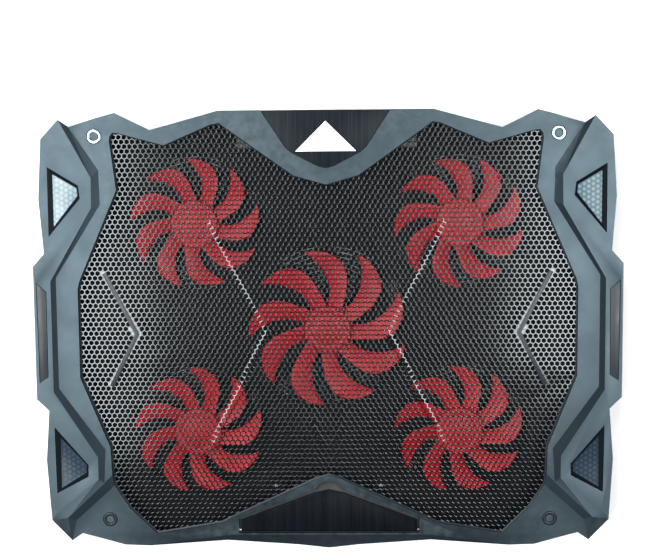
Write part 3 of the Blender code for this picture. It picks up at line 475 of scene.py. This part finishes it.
def round_edges(bm, width, segments=2, sharper=25.0, chosen=None):
    """Bevels the edges that turn more than an angle, or those that the test picks."""
    def turns(edge):
        return len(edge.link_faces) == 2 and edge.calc_face_angle(0) > math.radians(sharper)

    edges = [edge for edge in bm.edges if turns(edge) and (chosen is None or chosen(edge))]
    bmesh.ops.bevel(bm, geom=edges, offset=width, segments=segments, profile=0.5,
                    affect="EDGES", clamp_overlap=True, material=-1)
    return bm


def refined(node, look, width, body="pad", segments=2, sharper=25.0):
    """Replaces a CAD node with its own shape, edges rounded."""
    bm = round_edges(cad_copy(node), width, segments, sharper)
    return piece(f"{node}_finished", bm, look, body, node)


def turned_mesh(profile, sides, centre=(0, 0), bm=None):
    """A closed body spun about an upright line: profile is (radius, height) in mm. Radius 0 closes it."""
    bm = bm or bmesh.new()
    x, y = centre
    verts = [bm.verts.new((x + radius * MM, y, z * MM)) for radius, z in profile]
    edges = [bm.edges.new(pair) for pair in zip(verts, verts[1:])]
    bmesh.ops.spin(bm, geom=verts + edges, cent=(x, y, 0), axis=(0, 0, 1), angle=2 * math.pi,
                   steps=sides, use_merge=True)
    bmesh.ops.remove_doubles(bm, verts=bm.verts, dist=1e-7)
    bmesh.ops.recalc_face_normals(bm, faces=bm.faces)
    return bm


def middle(node):
    """The middle of a CAD node's box."""
    low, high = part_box(node)
    return (low + high) / 2


def added_box(bm, low, high):
    """A box between two corners in mm, added to the mesh."""
    size = [(b - a) * MM for a, b in zip(low, high)]
    centre = [(a + b) / 2 * MM for a, b in zip(low, high)]
    place = Matrix.Translation(centre) @ Matrix.Diagonal((*size, 1))
    return bmesh.ops.create_cube(bm, size=1.0, matrix=place)["verts"]


# ---------------------------------------------------------------- perforated sheet

def away_from(point, line):
    """Distance from a point to a chain of points, all in metres."""
    best = 1.0
    for start, end in zip(line, line[1:]):
        along = end - start
        share = max(0.0, min(1.0, (point - start).dot(along) / along.length_squared))
        best = min(best, (point - start - along * share).length)
    return best


def both_sides(points):
    """A chain of points in mm, in metres, and its mirror image in the pad's centre line."""
    return [[Vector((side * x, y)) * MM for x, y in points] for side in (1, -1)]


def sheet_rim():
    """The sheet's outer edge in plan, in order, from the CAD sheet's rim."""
    bm = bmesh.new()
    bm.from_mesh(NODES["mesh_panel"].data)
    bmesh.ops.remove_doubles(bm, verts=bm.verts, dist=2e-6)
    follows = {}
    for edge in bm.edges:
        if len(edge.link_faces) != 2:
            continue
        flat = [face for face in edge.link_faces if face.normal.z > 0.5]
        upright = [face for face in edge.link_faces if abs(face.normal.z) < 0.3]
        if flat and upright:
            for a, b in ((0, 1), (1, 0)):
                follows.setdefault(edge.verts[a], []).append(edge.verts[b])
    start = max(follows, key=lambda vert: vert.co.x)
    rim, last, here = [start], None, start
    while True:
        step = [vert for vert in follows[here] if vert is not last][0]
        if step is start:
            break
        rim.append(step)
        last, here = here, step
    points = [Vector(vert.co.xy) for vert in rim]
    bm.free()
    turning = sum(a.cross(b) for a, b in zip(points, points[1:] + points[:1]))
    return points if turning > 0 else points[::-1]


def hole_centres(rim):
    """Places of the holes: a close-packed field that stops short of the rim, the rivets and the two bands."""
    closed = rim + [rim[0]]
    rivets = [middle(f"mesh_rivet_{side}").xy for side in SIDES]
    bands = both_sides(BAND)
    row_step = HOLE_PITCH * math.sqrt(3) / 2
    rows = int(FIELD_HALF_DEPTH / row_step)
    columns = int(FIELD_HALF_WIDTH / HOLE_PITCH)
    centres = []
    for row in range(-rows, rows + 1):
        for column in range(-columns, columns + 1):
            shift = HOLE_PITCH / 2 if row % 2 else 0.0
            spot = Vector((column * HOLE_PITCH + shift, row * row_step))
            if not inside(spot, rim) and away_from(spot, closed) > HOLE_FLATS / 2:
                continue
            if min((spot - rivet).length for rivet in rivets) < RIVET_CLEAR:
                continue
            if min(away_from(spot, band) for band in bands) < BAND_HALF:
                continue
            centres.append(spot)
    return centres


def inside(point, outline):
    """Whether a point in plan lies inside a closed outline."""
    crossings = 0
    for a, b in zip(outline, outline[1:] + outline[:1]):
        if (a.y > point.y) != (b.y > point.y):
            crossings += point.x < a.x + (b.x - a.x) * (point.y - a.y) / (b.y - a.y)
    return crossings % 2 == 1


def sheet_height():
    """A function from a place in plan to the height of the sheet's top there, with its pressed beads."""
    tree = BVHTree.FromPolygons([v.co for v in NODES["mesh_panel"].data.vertices],
                                [p.vertices for p in NODES["mesh_panel"].data.polygons])
    folds, lens = both_sides(FOLD), both_sides(LENS)
    edge_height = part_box("mesh_panel")[0].z + SHEET_THICK

    def height(x, y):
        hit = tree.ray_cast(Vector((x, y, 0.05)), Vector((0, 0, -1)))[0]
        z = max(hit.z, edge_height) if hit else edge_height
        spot = Vector((x, y))
        for lines, rise in ((folds, FOLD_BEAD), (lens, LENS_BEAD)):
            gap = min(away_from(spot, line) for line in lines)
            z += rise * max(0.0, 1 - gap / BEAD_HALF)
        return z

    return height


def painted_shade_lip(rim):
    """A dark bevelled lip that runs round the frame's opening, down to the sheet; it is painted shade, a dark
    piece where the frame's edge shadows the sheet.
    """
    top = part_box("mesh_panel")[0].z + SHEET_THICK
    bm = bmesh.new()
    middle_face = bm.faces.new([bm.verts.new((p.x, p.y, top + LIP_HEIGHT)) for p in rim])
    tucked, slope = [
        bmesh.ops.inset_region(bm, faces=[middle_face], thickness=width, use_even_offset=True,
                               use_boundary=True)["faces"]
        for width in (LIP_TUCK, LIP_WIDTH)
    ]
    for vert in middle_face.verts:
        vert.co.z = top + LIP_FOOT
    bmesh.ops.delete(bm, geom=tucked + [middle_face], context="FACES")
    bmesh.ops.solidify(bm, geom=slope, thickness=LIP_THICK)
    return piece("painted_shade_lip", bm, "strip", "pad")


def chevron_rib(side, height):
    """A plain rib bent to a chevron, which lies along the sheet's unpunched band."""
    line = [Vector((SIDES[side] * x, y)) * MM for x, y in BAND]
    headings = [(b - a).normalized() for a, b in zip(line, line[1:])]
    bm = bmesh.new()
    rows = []
    for spot, before, after in zip(line, headings[:1] + headings, headings + headings[-1:]):
        ahead = (before + after).normalized()
        across = Vector((-ahead.y, ahead.x)) * RIB_WIDTH / 2 / ahead.dot(after)
        rows.append([bm.verts.new((*(spot + across * turn), height(*spot) - RIB_SINK)) for turn in (1, -1)])
    faces = [bm.faces.new((a[0], a[1], b[1], b[0])) for a, b in zip(rows, rows[1:])]
    lifted = bmesh.ops.extrude_face_region(bm, geom=faces)["geom"]
    for vert in [part for part in lifted if isinstance(part, bmesh.types.BMVert)]:
        vert.co.z += RIB_HEIGHT + RIB_SINK
    bmesh.ops.recalc_face_normals(bm, faces=bm.faces)
    round_edges(bm, RIB_ROUNDING)
    return piece(f"chevron_rib_{side}", bm, "strip", "pad")


def perforated_sheet():
    """The steel sheet with every hexagonal hole cut through it.

    The sheet is divided in plan into faces, the rim's own face first and then one for each hole. Those that
    belong to the rim alone are kept, top and underside, and joined round every edge.
    """
    rim = sheet_rim()
    painted_shade_lip(rim)
    centres = hole_centres(rim)
    points, hexagons = list(rim), [list(range(len(rim)))]
    corner = HOLE_FLATS / math.sqrt(3)
    compass = [Vector((math.cos(a), math.sin(a))) * corner
               for a in (math.radians(30 + 60 * i) for i in range(6))]
    for centre in centres:
        first = len(points)
        points += [centre + turn for turn in compass]
        hexagons.append(list(range(first, first + 6)))
    placed, _, faces, _, _, source = delaunay_2d_cdt(points, [], hexagons, 0, 1e-9)
    height = sheet_height()
    for side in SIDES:
        chevron_rib(side, height)
    flat = [Vector((p.x, p.y, height(p.x, p.y))) for p in placed]
    bm = bmesh.new()
    top = [bm.verts.new(p) for p in flat]
    under = [bm.verts.new(p - Vector((0, 0, SHEET_THICK))) for p in flat]
    for face, holes in zip(faces, source):
        if holes != [0]:
            continue
        bm.faces.new([top[i] for i in face])
        bm.faces.new([under[i] for i in reversed(face)])
    place = {vert: i for i, vert in enumerate(top)}
    for edge in [edge for edge in bm.edges if edge.is_boundary and edge.verts[0] in place]:
        a, b = [place[vert] for vert in edge.verts]
        loop = edge.link_loops[0]
        if place[loop.vert] != a:
            a, b = b, a
        bm.faces.new((top[b], top[a], under[a], under[b]))
    loose = [vert for vert in bm.verts if not vert.link_faces]
    bmesh.ops.delete(bm, geom=loose, context="VERTS")
    return piece("perforated_sheet", bm, "mesh", "pad", "mesh_panel", smooth=40.0)


# ---------------------------------------------------------------- fans

def blade_point(across, out, tip, root):
    """A blade's middle surface: across runs from 0 to 1 counter-clockwise, out from the hub to the tip."""
    if out < ROOT_SHARE:
        width = BLADE_WIDTH + ROOT_FLARE * (1 - out / ROOT_SHARE) ** 2
    else:
        width = BLADE_WIDTH + TIP_FLARE * (out - ROOT_SHARE) / (1 - ROOT_SHARE)
    sweep = TIP_SWEEP * out ** 1.6
    reach = tip - HUB_RADIUS + BLADE_TUCK
    rounding = (1 - across) ** 2.2 * TIP_CLIP * out ** 3
    radius = HUB_RADIUS - BLADE_TUCK + reach * out * (1 - rounding)
    angle = math.radians(root + sweep + (across - 0.5) * width)
    lift = (0.5 - across) * (4.6 + 1.2 * out) * MM + 0.5 * MM * math.sin(math.pi * across)
    return Vector((radius * math.cos(angle), radius * math.sin(angle), lift))


def fan_rotor(where):
    """A hub and nine swept blades, in one mesh."""
    centre = middle(f"fan_shaft_{where}").xy
    low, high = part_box(f"fan_rotor_{where}")
    tip = CENTRE_TIP if where == "centre" else CORNER_TIP
    under, top = low.z / MM, high.z / MM
    bm = bmesh.new()
    hub = [(0, top), (11.0, top), (11.6, top - 0.25), (12.2, top), (15.2, top), (16.1, top - 0.35),
           (16.5, top - 1.2), (16.5, under + 0.3), (16.2, under), (14.7, under), (14.5, under + 0.3),
           (14.5, 17.6), (1.8, 17.6), (1.8, 18.9), (0, 18.9)]
    turned_mesh(hub, 72, centre, bm)
    first = FIRST_TIP[where] - TIP_SWEEP
    for blade in range(BLADES):
        root = first + blade * 360 / BLADES
        grid = bmesh.ops.create_grid(bm, x_segments=BLADE_STEPS_ACROSS, y_segments=BLADE_STEPS_OUT,
                                     size=0.5)["verts"]
        for vert in grid:
            spot = blade_point(vert.co.x + 0.5, vert.co.y + 0.5, tip, root)
            vert.co = spot + Vector((centre.x, centre.y, BLADE_LEVEL))
        faces = list({face for vert in grid for face in vert.link_faces})
        bmesh.ops.recalc_face_normals(bm, faces=faces)
        if sum(face.normal.z for face in faces) < 0:
            bmesh.ops.reverse_faces(bm, faces=faces)
        bmesh.ops.solidify(bm, geom=faces, thickness=BLADE_THICK)
    bmesh.ops.recalc_face_normals(bm, faces=bm.faces)
    rims = [edge for edge in bm.edges if len(edge.link_faces) == 2
            and edge.calc_face_angle(0) > math.radians(60)
            and (edge.verts[0].co.xy - centre).length > HUB_RADIUS + 1 * MM]
    bmesh.ops.bevel(bm, geom=rims, offset=BLADE_ROUNDING, segments=2, profile=0.5, affect="EDGES",
                    clamp_overlap=True, material=-1)
    return piece(f"fan_{where}_rotor", bm, "rotor", f"{where}_fan", f"fan_rotor_{where}", smooth=40.0)


def fan_insides(where):
    """What lies under a hub: the motor's flanged base and drum, its bearing, and the rotor's axle."""
    x, y = middle(f"fan_shaft_{where}").xy
    bm = turned_mesh([
        (0, 5.3), (16.6, 5.3), (17.0, 5.6), (17.0, 6.3), (16.7, 6.6), (12.8, 6.6), (12.8, 15.1), (12.5, 15.4),
        (3.6, 15.4), (3.3, 15.1), (3.3, 6.7), (0, 6.7),
    ], 48, (x, y))
    piece(f"fan_{where}_motor", bm, "motor", "pad", f"fan_motor_{where}")
    bm = turned_mesh([(1.75, 7.0), (3.0, 7.0), (3.0, 16.2), (1.75, 16.2), (1.75, 7.0)], 40, (x, y))
    piece(f"fan_{where}_bearing", bm, "bronze", "pad", f"fan_sleeve_{where}")
    bm = turned_mesh([(0, 7.2), (1.2, 7.2), (1.5, 7.5), (1.5, 18.3), (1.2, 18.6), (0, 18.6)], 40, (x, y))
    piece(f"fan_{where}_axle", bm, "steel", f"{where}_fan", f"fan_shaft_{where}")


def intake_rings(where):
    """Concentric bars of the tray's finger guard, which cross its spokes under a fan."""
    x, y = middle(f"fan_shaft_{where}").xy
    outer_edge = CENTRE_INTAKE if where == "centre" else CORNER_INTAKE
    reach = outer_edge - INTAKE_INNER
    count = round(reach / GUARD_PITCH)
    half = GUARD_BAR / 2
    gap = (reach - count * GUARD_BAR) / (count + 1)
    knee = GUARD_UNDER + GUARD_CHAMFER
    bm = bmesh.new()
    for i in range(count):
        radius = INTAKE_INNER + gap + half + i * (GUARD_BAR + gap)
        inner, outer = radius - half, radius + half
        turned_mesh([
            (inner, knee), (inner + GUARD_CHAMFER_ACROSS, GUARD_UNDER),
            (outer - GUARD_CHAMFER_ACROSS, GUARD_UNDER), (outer, knee),
            (outer, GUARD_TOP), (inner, GUARD_TOP), (inner, knee),
        ], 96, (x, y), bm)
    return piece(f"intake_guard_{where}", bm, "tray", "pad")


# ---------------------------------------------------------------- casing

def top_frame():
    """The faceted frame, its creases softened and its outer edges rounded."""
    bm = cad_copy("top_frame")
    round_edges(bm, 0.45 * MM, 2, 9.0)
    return piece("faceted_frame", bm, "frame", "pad", "top_frame", smooth=14.0)


def bottom_tray():
    """The tray under the frame, its edges rounded."""
    bm = cad_copy("bottom_shell")
    round_edges(bm, 0.35 * MM, 2, 25.0)
    return piece("vented_tray", bm, "tray", "pad", "bottom_shell", smooth=20.0)


def corner_ring(node):
    """A ring with a rounded crown, in the frame's corner."""
    low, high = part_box(node)
    spot = (low + high) / 2
    top, under = high.z / MM, low.z / MM
    bm = turned_mesh([
        (2.9, under), (4.9, under), (4.9, top - 0.3), (4.8, top - 0.12), (4.5, top), (3.2, top),
        (3.0, top - 0.12), (2.9, top - 0.3), (2.9, under),
    ], 64, spot.xy)
    return piece(f"{node}_polished", bm, "ring", "pad", node, smooth=50.0)


def foot(node):
    """A rubber foot with a shallow dish in its underside."""
    spot = middle(node)
    bm = turned_mesh([
        (0, 0.35), (3.6, 0.35), (4.0, 0.0), (6.7, 0.0), (7.2, 0.2), (7.5, 0.6), (7.5, 2.7), (0, 2.7),
    ], 56, spot.xy)
    return piece(f"{node}_pad", bm, "rubber", "pad", node)


def casing_screw(node):
    """A pan screw whose head faces down, with a raised cross on the head."""
    spot = middle(node)
    low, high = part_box(node)
    under, tip = low.z / MM, high.z / MM
    bm = turned_mesh([
        (0, under), (1.6, under), (2.3, under + 0.15), (2.8, under + 0.7), (2.8, 6.3), (1.3, 6.3),
        (1.3, tip - 1.2), (0.3, tip), (0, tip),
    ], 32, spot.xy)
    for turn in (0.0, math.pi / 2):
        added = added_box(bm, (-1.5, -0.3, -0.25), (1.5, 0.3, 0.25))
        turned = Matrix.Rotation(turn + 0.4, 4, "Z")
        place = Matrix.Translation((spot.x, spot.y, (under - 0.02) * MM)) @ turned
        bmesh.ops.transform(bm, matrix=place, verts=added)
    return piece(f"{node}_cross_head", bm, "steel", "pad", node)


def rivet(node):
    """A rivet with a domed head, painted with the sheet."""
    spot = middle(node)
    low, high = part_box(node)
    under, top = low.z / MM, high.z / MM
    bm = turned_mesh([
        (0, under), (0.8, under), (0.8, top - 0.7), (1.8, top - 0.7), (1.75, top - 0.4), (1.2, top - 0.08),
        (0, top),
    ], 32, spot.xy)
    return piece(f"{node}_head", bm, "mesh", "pad", node, smooth=50.0)


def usb_socket(node):
    """The socket's rolled shell, its tongue and four contacts."""
    refined(node, "socket", 0.25 * MM)
    low, high = [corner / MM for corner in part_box(node)]
    middle_x = (low.x + high.x) / 2
    bm = bmesh.new()
    added_box(bm, (middle_x - 5.6, low.y + 1.6, high.z - 3.2),
              (middle_x + 5.6, high.y - 1.2, high.z - 1.4))
    round_edges(bm, 0.2 * MM)
    piece(f"{node}_tongue", bm, "rocker", "pad")
    bm = bmesh.new()
    for step in (-3.5, -1.0, 1.0, 3.5):
        x = middle_x + step
        added_box(bm, (x - 0.5, low.y + 2.5, high.z - 3.28), (x + 0.5, high.y - 1.9, high.z - 3.15))
    piece(f"{node}_contacts", bm, "bronze", "pad")


def flap_recess():
    """The black floor of the recess that the flap lies in, finger notch included."""
    bm = bmesh.new()
    outline = [(x, y) for x, y in RECESS] + [(-x, y) for x, y in reversed(RECESS[:-1])]
    floor = bm.faces.new([bm.verts.new((x * MM, y * MM, RECESS_FLOOR)) for x, y in outline])
    lifted = bmesh.ops.extrude_face_region(bm, geom=[floor])["geom"]
    for vert in [part for part in lifted if isinstance(part, bmesh.types.BMVert)]:
        vert.co.z += RECESS_SKIN
    bmesh.ops.recalc_face_normals(bm, faces=bm.faces)
    return piece("flap_recess_floor", bm, "rubber", "pad")


def stop_flap():
    """The brushed flap that stands up to stop a laptop."""
    bm = cad_copy("stop_flap")
    round_edges(bm, 0.3 * MM, 2, 40.0)
    return piece("brushed_stop_flap", bm, "flap", "flap", "stop_flap", smooth=25.0)


def recoat(node, look):
    """Gives a CAD node that is kept as it is one of the finished materials."""
    mesh = NODES[node].data
    mesh.materials.clear()
    mesh.materials.append(LOOKS[look])
    mesh.set_sharp_from_angle(angle=math.radians(35))


def build_pad():
    """Every piece of the pad, on the body that carries it."""
    top_frame()
    bottom_tray()
    perforated_sheet()
    for where in FANS:
        fan_rotor(where)
        fan_insides(where)
        intake_rings(where)
    for side in SIDES:
        refined(f"rear_window_{side}", "rear_window", 0.15 * MM)
        refined(f"front_window_{side}", "front_window", 0.15 * MM)
        refined(f"side_strip_{side}", "strip", 0.25 * MM)
        refined(f"rear_leg_{side}", "leg", 0.4 * MM, f"leg_{side}")
        refined(f"rear_leg_tip_{side}", "rubber", 0.5 * MM, f"leg_{side}")
        recoat(f"rear_leg_pin_{side}", "steel")
        rivet(f"mesh_rivet_{side}")
        for end in ("rear", "front"):
            corner_ring(f"corner_ring_{end}_{side}")
    for where in FANS[:4]:
        foot(f"foot_{where}")
    for where in FANS[:4] + ("side_left", "side_right"):
        casing_screw(f"casing_screw_{where}")
    refined("badge_panel", "badge", 0.25 * MM)
    refined("badge_plate", "plate", 0.2 * MM)
    flap_recess()
    stop_flap()
    recoat("stop_hinge_pin", "steel")
    recoat("hub_board", "board")
    for name in ("inner", "outer"):
        usb_socket(f"usb_socket_{name}")
        refined(f"fan_switch_{name}", "rocker", 0.4 * MM, f"switch_{name}")


# ---------------------------------------------------------------- studio

FLOOR_SIZE = 6.0
AIR_COLOUR = (0.93, 0.97, 1.0, 1.0)
AIR_STRENGTH = 0.08
# Each lamp's place, the point that it faces, its two sides in metres and its power in watts.
LAMPS = {
    "rear_key": ((-0.7, 1.1, 1.5), (0.0, 0.0, 0.0), (1.2, 1.0), 48.0),
    "left_panel": ((-0.5, -0.02, 1.2), (-0.15, -0.02, 0.0), (0.72, 0.36), 17.0),
    "right_panel": ((0.45, 0.03, 1.2), (0.15, 0.03, 0.0), (0.62, 0.36), 15.0),
}
EYE_PLACE = (25.1 * MM, 153.3 * MM, 1019.7 * MM)
EYE_TURN = (-6.5, 1.373, -0.364)


def panel(name, place, aim, size, power):
    """A rectangular lamp that faces a point."""
    lamp = bpy.data.lights.new(name, "AREA")
    lamp.shape = "RECTANGLE"
    lamp.size, lamp.size_y = size
    lamp.energy = power
    obj = bpy.data.objects.new(name, lamp)
    obj.location = place
    obj.rotation_euler = (Vector(aim) - Vector(place)).to_track_quat("-Z", "Y").to_euler()
    bpy.context.scene.collection.objects.link(obj)


def studio():
    """A pale floor, a large soft light behind the pad, and a pair of panels above its sides."""
    bpy.ops.mesh.primitive_plane_add(size=FLOOR_SIZE)
    floor = bpy.context.object
    floor.name = "pale_floor"
    floor.data.materials.append(floor_look())

    for name, lamp in LAMPS.items():
        panel(name, *lamp)
    world = bpy.data.worlds.new("studio_air")
    bpy.context.scene.world = world
    world.use_nodes = True
    background = world.node_tree.nodes["Background"]
    background.inputs["Color"].default_value = AIR_COLOUR
    background.inputs["Strength"].default_value = AIR_STRENGTH


def camera():
    """High over the pad's rear edge, looking almost straight down."""
    eye = bpy.data.cameras.new("camera")
    eye.lens = 79.0
    eye.sensor_width = 36.0
    obj = bpy.data.objects.new("camera", eye)
    obj.rotation_mode = "ZYX"
    obj.rotation_euler = [math.radians(angle) for angle in EYE_TURN]
    obj.location = EYE_PLACE
    bpy.context.scene.collection.objects.link(obj)
    bpy.context.scene.camera = obj


camera()
studio()
build_pad()
bpy.context.scene.view_settings.view_transform = "Standard"
